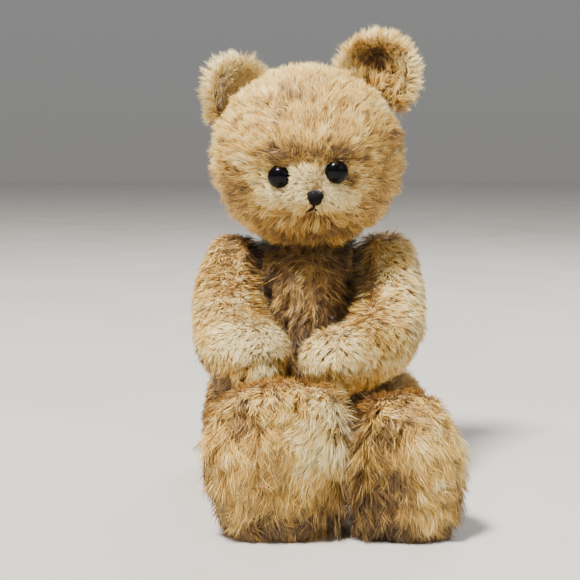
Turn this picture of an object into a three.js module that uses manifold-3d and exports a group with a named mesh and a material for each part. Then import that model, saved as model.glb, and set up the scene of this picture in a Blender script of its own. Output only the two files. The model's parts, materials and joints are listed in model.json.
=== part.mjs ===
// A jointed mohair teddy bear, sitting with its paws in its lap. Millimetres, +Z up, the bear faces -Y.
// The origin is the middle of the torso's flat underside. Left and right are the bear's own: left is +X.
// Head, torso and limbs are sewn cloth shells over packed stuffing. Five disc joints carry the head
// and the limbs: a split pin runs through washer, disc, cloth, cloth, disc and washer.
import * as THREE from 'three';
import { mergeVertices } from 'three/addons/utils/BufferGeometryUtils.js';
import Module from 'manifold-3d';

const wasm = await Module();
wasm.setup();

// ---- driving dimensions ----
const CLOTH = 6; // backing and pile of a loose stretch of cover
const PRESSED_CLOTH = 2; // cover where a joint squeezes it
const GAP = 0.3; // clearance between neighbouring pieces
const AROUND = 16; // points round a cover's section
const AROUND_INSIDE = 10; // points round a stuffing's section
const FAR = 300; // longer than the bear, for cutting tools

const HEAD = {
  centre: new THREE.Vector3(-0.5, -8, 176.5),
  radii: new THREE.Vector3(51.5, 47, 48.5),
  muzzle: new THREE.Vector3(2.5, -50, -19).normalize(),
  muzzleHeight: 9.5,
  muzzleSpread: 0.42, // radians
};

const TORSO = {
  // height, half-width, half-depth, forward shift
  sections: [
    [2, 27, 28, 0],
    [12, 33, 35, -1],
    [30, 36.5, 38, -2],
    [50, 37, 39, -2],
    [70, 33.3, 38, -1],
    [90, 31, 35.5, 0],
    [108, 29.5, 33, 0],
    [119, 28, 29.5, 0],
    [127, 25, 26, 0],
  ],
  ends: [6, 11], // how far the rounded ends reach beyond the first and last sections
};

// Each joint: the point on its axis where the two cloths meet, the axis pointing out of the torso,
// the radius of its fibreboard discs, and the radii of the flats on the torso and on what it carries.
const JOINTS = {
  neck: { at: [-1, -1, 133.5], axis: [-0.07, -0.05, 0.996], disc: 15.5, torsoFlat: 60, limbFlat: 40 },
  shoulder_left: { at: [25.5, 0, 115], axis: [1, 0, 0], disc: 11.5, torsoFlat: 33, limbFlat: 45 },
  shoulder_right: { at: [-25.5, 0, 115], axis: [-1, 0, 0], disc: 11.5, torsoFlat: 33, limbFlat: 42 },
  hip_left: { at: [28.5, 2, 30], axis: [0.999, -0.044, 0], disc: 15, torsoFlat: 38, limbFlat: 62 },
  hip_right: { at: [-28.5, 2, 30], axis: [-0.987, -0.162, 0], disc: 15, torsoFlat: 38, limbFlat: 50 },
};

const DISC_THICKNESS = 2.5;
const WASHER_THICKNESS = 0.8;
const WASHER_RADIUS = 5.5;
const PIN_RADIUS = 1;
const PIN_EYE_RADIUS = 2;
const PIN_EYE_SHIFT = 2.8; // from the pin's end to the middle of its eye
const PIN_LEG_RADIUS = 0.7;
const PIN_CURL = [
  // sideways, and beyond the washer
  [0, 0],
  [0.6, 3],
  [2.6, 4.2],
  [4.2, 2.6],
  [4, 1],
];
const BORE_RADIUS = 1.4;
const BORE_REACH = 8; // to each side of where the cloths meet
const POCKET_RADIUS = 6.2; // room in the stuffing for the washer and the pin's end
const POCKET_DEPTH = 13;

// Distances along a joint's axis from where the two cloths meet.
const CLOTH_FACE = GAP / 2;
const CLOTH_BACK = CLOTH_FACE + PRESSED_CLOTH;
const DISC_NEAR = CLOTH_BACK + GAP;
const DISC_FAR = DISC_NEAR + DISC_THICKNESS;
const WASHER_NEAR = DISC_FAR + GAP;
const WASHER_FAR = WASHER_NEAR + WASHER_THICKNESS;
const PIN_END = WASHER_FAR + GAP;

// Arms: stations from the shoulder to the paw, each with its centre, its half-width across the joint's
// axis direction and its half-height. The left forearm folds in over the lap, the right one points forward.
const ARMS = {
  left: {
    stations: [
      [42.8, 1, 120.5, 17.2, 17.5],
      [44.3, -6, 106, 18.4, 20],
      [44.9, -26, 89, 17.9, 20],
      [36.5, -48, 79, 17, 19],
      [19, -64, 75, 15.5, 17.5],
      [8, -70, 74, 15, 16],
    ],
    ends: [14, 12],
  },
  right: {
    stations: [
      [-40.8, 1, 120.5, 15.2, 17.5],
      [-43.8, -6, 107, 18, 20],
      [-44, -26, 93, 18.6, 21],
      [-39, -48, 80, 20, 21],
      [-30, -66, 76.5, 22, 19.5],
    ],
    ends: [12.5, 18],
  },
};

// Legs, in a frame at the hip joint: out from the torso, y back along the leg, z up from the table.
// Stations as for the arms: the leg's run from the hip to the heel, and the foot's run upwards.
const LEGS = {
  left: {
    turn: -0.044,
    leg: [
      [18, 6, 29, 18.5, 27],
      [18.5, -14, 29.5, 19.5, 28.5],
      [18, -45, 28, 18.5, 27],
      [19.75, -78, 27, 19.5, 26],
      [21.5, -108, 27, 19.5, 26],
    ],
    foot: [
      [21.5, -117, 6, 19.5, 15],
      [21.5, -118, 22, 25.5, 19],
      [21.5, -120, 42, 25.5, 18.5],
      [21.5, -123, 54, 20.5, 15.5],
    ],
  },
  right: {
    turn: 0.162,
    leg: [
      [14.5, 6, 29, 15.5, 27],
      [15.5, -14, 29.5, 16.5, 28.5],
      [15.5, -45, 28, 17, 27],
      [12, -78, 27, 19, 26],
      [8, -108, 27, 19, 26],
    ],
    foot: [
      [5, -117, 6, 24, 15],
      [5.5, -118, 22, 32, 19],
      [6.7, -120, 42, 35.3, 18.5],
      [6.7, -123, 59, 30.8, 15.5],
    ],
  },
};
const LEG_ENDS = [22, 8];
const FOOT_ENDS = [10, 15];

// Places on the face are slopes from straight ahead at the head's centre: sideways, and upward.
const EYES = {
  left: { sideways: 0.295, upward: -0.17, radius: 6 },
  right: { sideways: -0.335, upward: -0.235, radius: 5.8 },
};
const EYE_FORWARD = 0.6; // turns an eye's axis from straight out of the head towards the front
const EYE_SUNK = 1; // the widest circle of the glass below the pile
const EYE_DOME = 4.6;
const EYE_BACK = 1.6;
const EYE_BACK_SHARE = 0.9; // of the eye's radius
const SHANK_WIRE = 0.6;
const SHANK_LENGTH = 7;
const SHANK_LOOP = 1.8;
const SOCKET_DEPTH = 6;
const SHANK_HOLE = { radius: 3, from: 2, coverDepth: 12 };

const NOSE = {
  sideways: 0.062,
  upward: -0.395,
  halfWidth: 5,
  shoulder: 3, // heights of the outline above the nose's middle
  crown: 4.6,
  waist: -2.6,
  foot: -4.6,
  footHalfWidth: 1.2,
  thickness: 1.8,
  sunk: 1.1,
  turn: 0.03,
};
const MOUTH = {
  // sideways, upward, and lift from the pile
  top: [0.058, -0.515, 0.1],
  fork: [0.05, -0.585, -0.2],
  ends: [
    [-0.03, -0.66, -0.2],
    [0.13, -0.65, -0.2],
  ],
  overlap: 0.4,
};

const EARS = {
  left: { at: [37, 3, 219], radius: 25, cup: 11, turn: [-0.1, 0.1, -0.42] },
  right: { at: [-39, 9, 208], radius: 24, cup: 9, turn: [0.1, -0.3, 0.75] },
};
const EAR_THICKNESS = 8;
const EAR_PROFILE = [
  // from the middle of the front round the rim to the back: reach, and share of the thickness
  [0.35, 0],
  [0.72, 0],
  [0.95, 0.12],
  [1, 0.5],
  [0.93, 0.88],
  [0.68, 1],
  [0.33, 1],
];

const BACK_SEAM = { from: 40, pitch: 4, stitches: 12, halfWidth: 1.8 };

const THREAD_RADIUS = 0.8;

// ---- materials ----
const material = (colour, roughness, metalness = 0) =>
  new THREE.MeshStandardMaterial({ color: colour, roughness, metalness });

const MATERIALS = {
  mohair: material(0xb08a5a, 0.95),
  stuffing: material(0xc8ad7c, 1),
  glass: material(0x0b0a0c, 0.08),
  thread: material(0x1c1815, 0.8),
  seamThread: material(0x8a6c48, 0.9),
  board: material(0x8c6f4a, 0.9),
  steel: material(0x8d8a84, 0.45, 0.9),
};

// ---- solids ----
function solidOf(geometry) {
  const bare = geometry.index ? geometry.clone() : geometry;
  bare.deleteAttribute('normal');
  bare.deleteAttribute('uv');
  const merged = mergeVertices(bare, 1e-4);
  return new wasm.Manifold(
    new wasm.Mesh({
      numProp: 3,
      vertProperties: new Float32Array(merged.attributes.position.array),
      triVerts: new Uint32Array(merged.index.array),
    }),
  );
}

function geometryOf(solid) {
  const mesh = solid.getMesh();
  const geometry = new THREE.BufferGeometry();
  geometry.setAttribute('position', new THREE.BufferAttribute(new Float32Array(mesh.vertProperties), 3));
  geometry.setIndex(new THREE.BufferAttribute(new Uint32Array(mesh.triVerts), 1));
  geometry.computeVertexNormals();
  return geometry;
}

// A closed skin through rings of points, with a point at each end.
function skinRings(rings, firstPole, lastPole) {
  const count = rings[0].length;
  const points = [firstPole, ...rings.flat(), lastPole];
  const faces = [];
  for (let i = 0; i < count; i += 1) {
    const next = (i + 1) % count;
    faces.push(0, 1 + next, 1 + i);
    for (let ring = 0; ring < rings.length - 1; ring += 1) {
      const low = 1 + ring * count;
      const high = low + count;
      faces.push(low + i, low + next, high + next);
      faces.push(low + i, high + next, high + i);
    }
    const top = 1 + (rings.length - 1) * count;
    faces.push(top + i, top + next, points.length - 1);
  }
  const geometry = new THREE.BufferGeometry();
  geometry.setAttribute('position', new THREE.Float32BufferAttribute(points.flatMap((p) => p.toArray()), 3));
  geometry.setIndex(faces);
  return geometry;
}

// A sack along a curve: elliptical sections, and rounded ends of the given lengths. across is the
// direction of the first half-size; inset shrinks the sack all round.
function sack({ stations, ends, across, inset, around, rings }) {
  const curve = new THREE.CatmullRomCurve3(stations.map((s) => new THREE.Vector3(s[0], s[1], s[2])));
  const sizes = new THREE.CatmullRomCurve3(stations.map((s) => new THREE.Vector3(s[3], s[4], 0)));
  const sections = [];
  const capAngles = inset > 0 ? [1, 0.5] : [1.2, 0.85, 0.45];
  for (const angle of capAngles) {
    sections.push({ t: 0, shift: -(ends[0] - inset) * Math.sin(angle), scale: Math.cos(angle) });
  }
  for (let i = 0; i < rings; i += 1) {
    sections.push({ t: i / (rings - 1), shift: 0, scale: 1 });
  }
  for (const angle of [...capAngles].reverse()) {
    sections.push({ t: 1, shift: (ends[1] - inset) * Math.sin(angle), scale: Math.cos(angle) });
  }
  const loops = sections.map(({ t, shift, scale }) => {
    const along = curve.getTangent(t);
    const side = across.clone().addScaledVector(along, -across.dot(along)).normalize();
    const up = new THREE.Vector3().crossVectors(along, side);
    const centre = curve.getPoint(t).addScaledVector(along, shift);
    const size = sizes.getPoint(t);
    const loop = [];
    for (let i = 0; i < around; i += 1) {
      const angle = (2 * Math.PI * i) / around;
      const point = centre.clone();
      point.addScaledVector(side, (size.x - inset) * scale * Math.cos(angle));
      point.addScaledVector(up, (size.y - inset) * scale * Math.sin(angle));
      loop.push(point);
    }
    return loop;
  });
  const first = curve.getPoint(0).addScaledVector(curve.getTangent(0), inset - ends[0]);
  const last = curve.getPoint(1).addScaledVector(curve.getTangent(1), ends[1] - inset);
  return solidOf(skinRings(loops, first, last));
}

const vector = (numbers) => new THREE.Vector3(...numbers);

// Where a piece of a joint sits: the distance along the axis, with the axis turned to local +Z.
function onAxis(joint, distance) {
  const axis = vector(joint.axis).normalize();
  const turn = new THREE.Quaternion().setFromUnitVectors(new THREE.Vector3(0, 0, 1), axis);
  const place = vector(joint.at).addScaledVector(axis, distance);
  return new THREE.Matrix4().compose(place, turn, new THREE.Vector3(1, 1, 1));
}

function cylinder(joint, radius, from, to, segments = 12) {
  const geometry = new THREE.CylinderGeometry(radius, radius, to - from, segments);
  geometry.rotateX(Math.PI / 2);
  geometry.applyMatrix4(onAxis(joint, (from + to) / 2));
  return solidOf(geometry);
}

function below(height) {
  const geometry = new THREE.BoxGeometry(2 * FAR, 2 * FAR, FAR);
  geometry.translate(0, 0, height - FAR / 2);
  return solidOf(geometry);
}

// ---- shapes of the sewn parts ----
// How far the head's cover is from its centre in a direction: an ellipsoid with a bump for the muzzle.
function headReach(direction) {
  const angle = direction.angleTo(HEAD.muzzle);
  const bump = HEAD.muzzleHeight * Math.exp(-((angle / HEAD.muzzleSpread) ** 2));
  return 1 / direction.clone().divide(HEAD.radii).length() + bump;
}

function headSkin(inset, around, rows) {
  const loops = [];
  const surfacePoint = (polar, turn) => {
    const direction = new THREE.Vector3().setFromSphericalCoords(1, polar, turn);
    direction.set(direction.z, direction.x, direction.y);
    return direction.multiplyScalar(headReach(direction) - inset).add(HEAD.centre);
  };
  for (let row = 1; row < rows; row += 1) {
    const loop = [];
    for (let i = 0; i < around; i += 1) {
      loop.push(surfacePoint(Math.PI * (1 - row / rows), (2 * Math.PI * i) / around));
    }
    loops.push(loop);
  }
  return solidOf(skinRings(loops, surfacePoint(Math.PI, 0), surfacePoint(0, 0)));
}

function torsoSkin(inset, around) {
  const stations = TORSO.sections.map(([z, width, depth, shift]) => [0, shift, z, width, depth]);
  return sack({ stations, ends: TORSO.ends, across: new THREE.Vector3(1, 0, 0), inset, around, rings: 9 });
}

function armSkin(side, inset, around) {
  const across = vector(JOINTS[`shoulder_${side}`].axis);
  return sack({ ...ARMS[side], across, inset, around, rings: 8 });
}

function legSkin(side, inset, around) {
  const { turn, leg, foot } = LEGS[side];
  const out = side === 'left' ? 1 : -1;
  const shared = { across: new THREE.Vector3(out, 0, 0), inset, around };
  const placed = (stations) => stations.map(([x, ...others]) => [out * x, ...others]);
  const whole = sack({ ...shared, stations: placed(leg), ends: LEG_ENDS, rings: 6 }).add(
    sack({ ...shared, stations: placed(foot), ends: FOOT_ENDS, rings: 5 }),
  );
  const joint = JOINTS[`hip_${side}`];
  const place = new THREE.Matrix4().makeTranslation(joint.at[0], joint.at[1], 0);
  place.multiply(new THREE.Matrix4().makeRotationZ(turn));
  return solidOf(geometryOf(whole).applyMatrix4(place));
}

const jointsOf = {
  head: ['neck'],
  torso: Object.keys(JOINTS),
  arm_left: ['shoulder_left'],
  arm_right: ['shoulder_right'],
  leg_left: ['hip_left'],
  leg_right: ['hip_right'],
};

const skinOf = {
  head: (inset, around) => headSkin(inset, around + 4, Math.round(around * 0.7)),
  torso: torsoSkin,
  arm_left: (inset, around) => armSkin('left', inset, around),
  arm_right: (inset, around) => armSkin('right', inset, around),
  leg_left: (inset, around) => legSkin('left', inset, around),
  leg_right: (inset, around) => legSkin('right', inset, around),
};

// A sewn part, flat where a joint holds it and where it sits. depth is how far from the meeting
// plane the part starts; the cloth is thin round every flat.
function trimmed(part, inset, depth, around) {
  const pressed = inset > 0 ? inset - CLOTH + PRESSED_CLOTH : 0;
  let solid = skinOf[part](inset, around);
  for (const name of jointsOf[part]) {
    const joint = JOINTS[name];
    const [from, to] = part === 'torso' ? [-depth, FAR] : [-FAR, depth];
    const flat = part === 'torso' ? joint.torsoFlat : joint.limbFlat;
    solid = solid.subtract(cylinder(joint, flat + pressed, from, to, 16));
  }
  return solid.subtract(below(pressed));
}

// Along a joint's axis into a part: from the meeting plane to the given distances.
function inward(part, near, far) {
  return part === 'torso' ? [-far, -near] : [near, far];
}

function cover(part) {
  let solid = trimmed(part, 0, CLOTH_FACE, AROUND);
  solid = solid.subtract(trimmed(part, CLOTH, CLOTH_BACK, AROUND_INSIDE));
  for (const name of jointsOf[part]) {
    const joint = JOINTS[name];
    const discPocket = inward(part, CLOTH_BACK, DISC_FAR + 2 * GAP);
    const pinPocket = inward(part, CLOTH_BACK, POCKET_DEPTH);
    solid = solid.subtract(cylinder(joint, joint.disc + 3 * GAP, ...discPocket, 16));
    solid = solid.subtract(cylinder(joint, POCKET_RADIUS + GAP, ...pinPocket, 8));
    solid = solid.subtract(cylinder(joint, BORE_RADIUS, -BORE_REACH, BORE_REACH, 8));
  }
  return solid;
}

function stuffing(part) {
  let solid = trimmed(part, CLOTH + GAP, CLOTH_BACK + GAP, AROUND_INSIDE);
  for (const name of jointsOf[part]) {
    const joint = JOINTS[name];
    solid = solid.subtract(cylinder(joint, joint.disc + 3 * GAP, ...inward(part, 0, DISC_FAR + GAP), 16));
    solid = solid.subtract(cylinder(joint, POCKET_RADIUS, ...inward(part, 0, POCKET_DEPTH), 12));
  }
  return solid;
}

// ---- joint hardware ----
function ring(joint, radius, near, far, segments) {
  const profile = [
    new THREE.Vector2(BORE_RADIUS, 0),
    new THREE.Vector2(radius, 0),
    new THREE.Vector2(radius, far - near),
    new THREE.Vector2(BORE_RADIUS, far - near),
    new THREE.Vector2(BORE_RADIUS, 0),
  ];
  const geometry = new THREE.LatheGeometry(profile, segments);
  geometry.rotateX(Math.PI / 2);
  geometry.applyMatrix4(onAxis(joint, near));
  return solidOf(geometry);
}

// A split pin: an eye at the outer end, and two legs curled back over the washer inside the torso.
function splitPin(joint) {
  let pin = cylinder(joint, PIN_RADIUS, -PIN_END - PIN_RADIUS, PIN_END + PIN_RADIUS, 8);
  const eye = new THREE.TorusGeometry(PIN_EYE_RADIUS, PIN_LEG_RADIUS, 5, 8);
  eye.rotateX(Math.PI / 2);
  eye.applyMatrix4(onAxis(joint, PIN_END + PIN_EYE_SHIFT));
  pin = pin.add(solidOf(eye));
  for (const side of [-1, 1]) {
    const points = PIN_CURL.map(([x, beyond]) => new THREE.Vector3(side * x, 0, -PIN_END - beyond));
    const leg = rod(new THREE.CatmullRomCurve3(points), PIN_LEG_RADIUS, 5, 4);
    leg.applyMatrix4(onAxis(joint, 0));
    pin = pin.add(solidOf(leg));
  }
  return pin;
}

function rod(curve, radius, steps, sides) {
  const section = new THREE.Shape(
    Array.from({ length: sides }, (_, i) => {
      const angle = (2 * Math.PI * i) / sides;
      return new THREE.Vector2(radius * Math.cos(angle), radius * Math.sin(angle));
    }),
  );
  return new THREE.ExtrudeGeometry(section, { steps, extrudePath: curve, bevelEnabled: false });
}

// ---- face ----
// A point on the head's cover, or this far above it.
function onFace(sideways, upward, lift = 0) {
  const direction = new THREE.Vector3(sideways, -1, upward).normalize();
  return direction.clone().multiplyScalar(headReach(direction) + lift).add(HEAD.centre);
}

// An eye's place and axis, in the form of a joint.
function eyeAxis(side) {
  const centre = onFace(EYES[side].sideways, EYES[side].upward);
  const normal = centre.clone().sub(HEAD.centre).normalize();
  normal.y -= EYE_FORWARD;
  return { at: centre.toArray(), axis: normal.normalize().toArray() };
}

// A domed black button with a flat back, and a drilled socket for its wire.
function eyeGlass(side, grow = 0) {
  const axis = eyeAxis(side);
  const radius = EYES[side].radius + grow;
  const back = -EYE_BACK - grow;
  const profile = [new THREE.Vector2(0, back), new THREE.Vector2(radius * EYE_BACK_SHARE, back)];
  for (let i = 0; i < 5; i += 1) {
    const angle = (i / 5) * (Math.PI / 2);
    profile.push(new THREE.Vector2(radius * Math.cos(angle), (EYE_DOME + grow) * Math.sin(angle)));
  }
  profile.push(new THREE.Vector2(0, EYE_DOME + grow));
  const geometry = new THREE.LatheGeometry(profile, 14);
  geometry.rotateX(Math.PI / 2);
  geometry.applyMatrix4(onAxis(axis, -EYE_SUNK));
  const glass = solidOf(geometry);
  const socket = cylinder(axis, SHANK_WIRE + GAP, -SOCKET_DEPTH, -EYE_BACK + 2 * GAP, 8);
  return grow > 0 ? glass : glass.subtract(socket);
}

function eyeShank(side) {
  const axis = eyeAxis(side);
  const loop = new THREE.TorusGeometry(SHANK_LOOP, SHANK_WIRE, 4, 8);
  loop.rotateX(Math.PI / 2);
  loop.applyMatrix4(onAxis(axis, -SHANK_LENGTH - EYE_SUNK));
  return cylinder(axis, SHANK_WIRE, -SHANK_LENGTH + GAP, -EYE_BACK, 6).add(solidOf(loop));
}

// The shank passes through the cover and hangs in a hole in the stuffing, down to this depth.
function shankHole(side, depth) {
  return cylinder(eyeAxis(side), SHANK_HOLE.radius, -depth, -SHANK_HOLE.from, 10);
}

// The nose: a block of close stitches, wide at the top and tapering to the mouth.
function nosePad(grow = 0) {
  const { halfWidth, shoulder, crown, waist, foot, footHalfWidth } = NOSE;
  const half = halfWidth + grow;
  const outline = new THREE.Shape();
  outline.moveTo(-half, shoulder + grow);
  outline.quadraticCurveTo(0, crown + grow, half, shoulder + grow);
  outline.quadraticCurveTo(half * 0.7, waist, footHalfWidth + grow, foot - grow);
  outline.lineTo(-footHalfWidth - grow, foot - grow);
  outline.quadraticCurveTo(-half * 0.7, waist, -half, shoulder + grow);
  const depth = NOSE.thickness + 2 * grow;
  const geometry = new THREE.ExtrudeGeometry(outline, { depth, bevelEnabled: false, curveSegments: 4 });
  geometry.rotateX(Math.PI / 2);
  geometry.rotateZ(NOSE.turn);
  const place = onFace(NOSE.sideways, NOSE.upward);
  geometry.translate(place.x, place.y + NOSE.sunk + grow, place.z);
  return solidOf(geometry);
}

// Three stitches: one down from the nose, then one to each side. They lie in the pile of the muzzle.
function mouthStitches(radius) {
  const fork = onFace(...MOUTH.fork);
  const strokes = [[onFace(...MOUTH.top), fork], ...MOUTH.ends.map((end) => [fork, onFace(...end)])];
  const parts = strokes.map(([from, to]) => {
    const along = to.clone().sub(from).normalize();
    const start = from.clone().addScaledVector(along, -MOUTH.overlap);
    return solidOf(rod(new THREE.LineCurve3(start, to), radius, 2, 6));
  });
  return parts.reduce((whole, part) => whole.add(part));
}

// An ear: two layers of cloth cupped forward, rounded at the top, its root cut to the head.
function ear(side) {
  const { at, radius, cup, turn } = EARS[side];
  const loops = [];
  const surface = (reach, back, angle) => {
    const x = radius * reach * Math.cos(angle);
    const z = radius * reach * Math.sin(angle);
    return new THREE.Vector3(x, cup * (0.5 - reach ** 2) + EAR_THICKNESS * (back - 0.5), z);
  };
  for (const [reach, back] of EAR_PROFILE) {
    loops.push(Array.from({ length: AROUND }, (_, i) => surface(reach, back, (-2 * Math.PI * i) / AROUND)));
  }
  const skin = skinRings(loops, surface(0, 0, 0), surface(0, 1, 0));
  skin.applyMatrix4(new THREE.Matrix4().makeRotationFromEuler(new THREE.Euler(...turn)));
  skin.translate(...at);
  return solidOf(skin).subtract(skinOf.head(-GAP, AROUND));
}

// ---- closing seam down the back: one thread in slanted stitches ----
function backStitches(radius) {
  const points = [];
  for (let i = 0; i <= BACK_SEAM.stitches; i += 1) {
    const z = BACK_SEAM.from + i * BACK_SEAM.pitch;
    const slice = TORSO.sections.findIndex((section) => section[0] > z);
    const [lowZ, , lowDepth, lowShift] = TORSO.sections[slice - 1];
    const [highZ, , highDepth, highShift] = TORSO.sections[slice];
    const share = (z - lowZ) / (highZ - lowZ);
    const back = THREE.MathUtils.lerp(lowDepth + lowShift, highDepth + highShift, share);
    const side = i % 2 ? BACK_SEAM.halfWidth : -BACK_SEAM.halfWidth;
    points.push(new THREE.Vector3(side, back + radius + GAP, z));
  }
  return solidOf(rod(new THREE.CatmullRomCurve3(points), radius, 2 * BACK_SEAM.stitches, 4));
}

// ---- the bear ----
const bear = new THREE.Group();

function add(name, solid, surface) {
  const mesh = new THREE.Mesh(geometryOf(solid), surface);
  mesh.name = name;
  bear.add(mesh);
}

let headCover = cover('head').subtract(nosePad(GAP)).subtract(mouthStitches(THREAD_RADIUS + GAP));
let headStuffing = stuffing('head');
for (const side of ['left', 'right']) {
  headCover = headCover.subtract(eyeGlass(side, GAP)).subtract(shankHole(side, SHANK_HOLE.coverDepth));
  headStuffing = headStuffing.subtract(shankHole(side, SHANK_HOLE.coverDepth));
}
add('head_cover', headCover, MATERIALS.mohair);
add('head_stuffing', headStuffing, MATERIALS.stuffing);
add('nose_stitching', nosePad(), MATERIALS.thread);
add('mouth_stitching', mouthStitches(THREAD_RADIUS), MATERIALS.thread);
for (const side of ['left', 'right']) {
  add(`ear_${side}`, ear(side), MATERIALS.mohair);
  add(`eye_${side}`, eyeGlass(side), MATERIALS.glass);
  add(`eye_${side}_shank`, eyeShank(side), MATERIALS.steel);
}

add('torso_cover', cover('torso'), MATERIALS.mohair);
add('torso_stuffing', stuffing('torso'), MATERIALS.stuffing);
add('back_closing_stitches', backStitches(THREAD_RADIUS), MATERIALS.seamThread);

for (const limb of ['arm_left', 'arm_right', 'leg_left', 'leg_right']) {
  add(`${limb}_cover`, cover(limb), MATERIALS.mohair);
  add(`${limb}_stuffing`, stuffing(limb), MATERIALS.stuffing);
}

for (const [name, joint] of Object.entries(JOINTS)) {
  add(`${name}_body_disc`, ring(joint, joint.disc, -DISC_FAR, -DISC_NEAR, 14), MATERIALS.board);
  add(`${name}_outer_disc`, ring(joint, joint.disc, DISC_NEAR, DISC_FAR, 14), MATERIALS.board);
  add(`${name}_body_washer`, ring(joint, WASHER_RADIUS, -WASHER_FAR, -WASHER_NEAR, 10), MATERIALS.steel);
  add(`${name}_outer_washer`, ring(joint, WASHER_RADIUS, WASHER_NEAR, WASHER_FAR, 10), MATERIALS.steel);
  add(`${name}_split_pin`, splitPin(joint), MATERIALS.steel);
}

export default bear;
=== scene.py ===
import json
import math

import bmesh
import bpy
import numpy as np
from mathutils import Matrix, Vector
from mathutils.bvhtree import BVHTree
from mathutils.kdtree import KDTree

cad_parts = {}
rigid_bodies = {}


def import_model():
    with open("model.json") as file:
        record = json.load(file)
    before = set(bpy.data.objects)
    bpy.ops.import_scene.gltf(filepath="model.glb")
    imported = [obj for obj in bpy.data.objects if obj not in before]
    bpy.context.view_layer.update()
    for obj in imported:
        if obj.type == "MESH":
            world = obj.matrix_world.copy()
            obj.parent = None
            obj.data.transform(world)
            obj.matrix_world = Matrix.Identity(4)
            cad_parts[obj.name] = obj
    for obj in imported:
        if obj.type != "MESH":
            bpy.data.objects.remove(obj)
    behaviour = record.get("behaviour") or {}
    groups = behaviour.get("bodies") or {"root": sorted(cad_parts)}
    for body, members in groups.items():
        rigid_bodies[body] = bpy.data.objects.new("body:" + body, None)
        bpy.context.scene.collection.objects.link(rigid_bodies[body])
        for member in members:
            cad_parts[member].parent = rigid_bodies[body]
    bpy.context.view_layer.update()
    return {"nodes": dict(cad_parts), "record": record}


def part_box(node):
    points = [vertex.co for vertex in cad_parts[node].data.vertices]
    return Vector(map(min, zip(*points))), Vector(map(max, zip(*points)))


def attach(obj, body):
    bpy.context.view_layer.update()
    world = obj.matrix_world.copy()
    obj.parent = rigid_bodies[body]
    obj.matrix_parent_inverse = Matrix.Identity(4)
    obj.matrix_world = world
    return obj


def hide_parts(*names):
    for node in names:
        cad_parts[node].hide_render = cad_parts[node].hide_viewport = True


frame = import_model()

# ---- The table top and the light ----
# The bear sits on a plain pale table of painted board. A soft lamp stands high on the viewer's left, a
# weaker one on the right, and one behind draws the edge of the pile. The room itself is dim.
camera_data = bpy.data.cameras.new("camera")
camera = bpy.data.objects.new("camera", camera_data)
bpy.context.collection.objects.link(camera)
camera.location = (-0.010, -0.690, 0.175)
camera.rotation_euler = (math.radians(84), 0, 0)
camera_data.sensor_width = 36
camera_data.lens = 77.6
camera_data.clip_start = 0.01
bpy.context.scene.camera = camera


def linear(colour):
    """An sRGB hex colour as linear numbers for a shader socket."""
    parts = [int(colour[i:i + 2], 16) / 255 for i in (1, 3, 5)]
    return [p / 12.92 if p <= 0.04045 else ((p + 0.055) / 1.055) ** 2.4 for p in parts] + [1]


def add_node(tree, kind, settings=None, inputs=None):
    """One shader node with its settings, and its inputs set to values or linked from sockets."""
    made = tree.nodes.new(kind)
    for name, value in (settings or {}).items():
        setattr(made, name, value)
    for name, value in (inputs or {}).items():
        if isinstance(value, bpy.types.NodeSocket):
            tree.links.new(value, made.inputs[name])
        else:
            made.inputs[name].default_value = value
    return made


def new_material(name):
    """An empty material: its node tree and its surface shader."""
    material = bpy.data.materials.new(name)
    material.use_nodes = True
    return material, material.node_tree, material.node_tree.nodes["Principled BSDF"]


def set_ramp(ramp_node, stops):
    """Sets a colour ramp's stops, given as (place, hex colour)."""
    elements = ramp_node.color_ramp.elements
    while len(elements) > 1:
        elements.remove(elements[-1])
    elements[0].position = stops[0][0]
    elements[0].color = linear(stops[0][1])
    for place, colour in stops[1:]:
        elements.new(place).color = linear(colour)


bpy.ops.object.select_all(action="DESELECT")
bpy.ops.mesh.primitive_circle_add(vertices=96, radius=9, fill_type="NGON")
table_top = bpy.context.object
table_top.name = "table_top"

# Matt paint rolled over board: a faint cloudiness, and no reflections.
table_paint, tree, shader = new_material("pale_table_paint")
place = add_node(tree, "ShaderNodeTexCoord").outputs["Object"]
mottle = add_node(tree, "ShaderNodeTexNoise", None, {"Vector": place, "Scale": 6, "Detail": 5})
tone = add_node(tree, "ShaderNodeValToRGB", None, {"Fac": mottle.outputs["Fac"]})
set_ramp(tone, [(0.3, "#c9c3ba"), (0.7, "#d3cec6")])
tree.links.new(tone.outputs["Color"], shader.inputs["Base Color"])
shader.inputs["Roughness"].default_value = 0.6
table_top.data.materials.append(table_paint)

for name, spot, size, power, tint in [
    ("key_lamp", (-0.85, -1.25, 2.75), 0.5, 268, "#fffdf8"),
    ("fill_lamp", (1.6, -1.3, 1.2), 1.2, 6, "#eef2ff"),
    ("edge_lamp", (0.6, 1.2, 1.3), 0.6, 14, "#ffffff"),
]:
    lamp_data = bpy.data.lights.new(name, "AREA")
    lamp_data.size = size
    lamp_data.energy = power
    lamp_data.color = linear(tint)[:3]
    lamp = bpy.data.objects.new(name, lamp_data)
    bpy.context.collection.objects.link(lamp)
    lamp.location = spot
    towards = Vector((0, -0.03, 0.11)) - lamp.location
    lamp.rotation_euler = towards.to_track_quat("-Z", "Y").to_euler()

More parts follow.
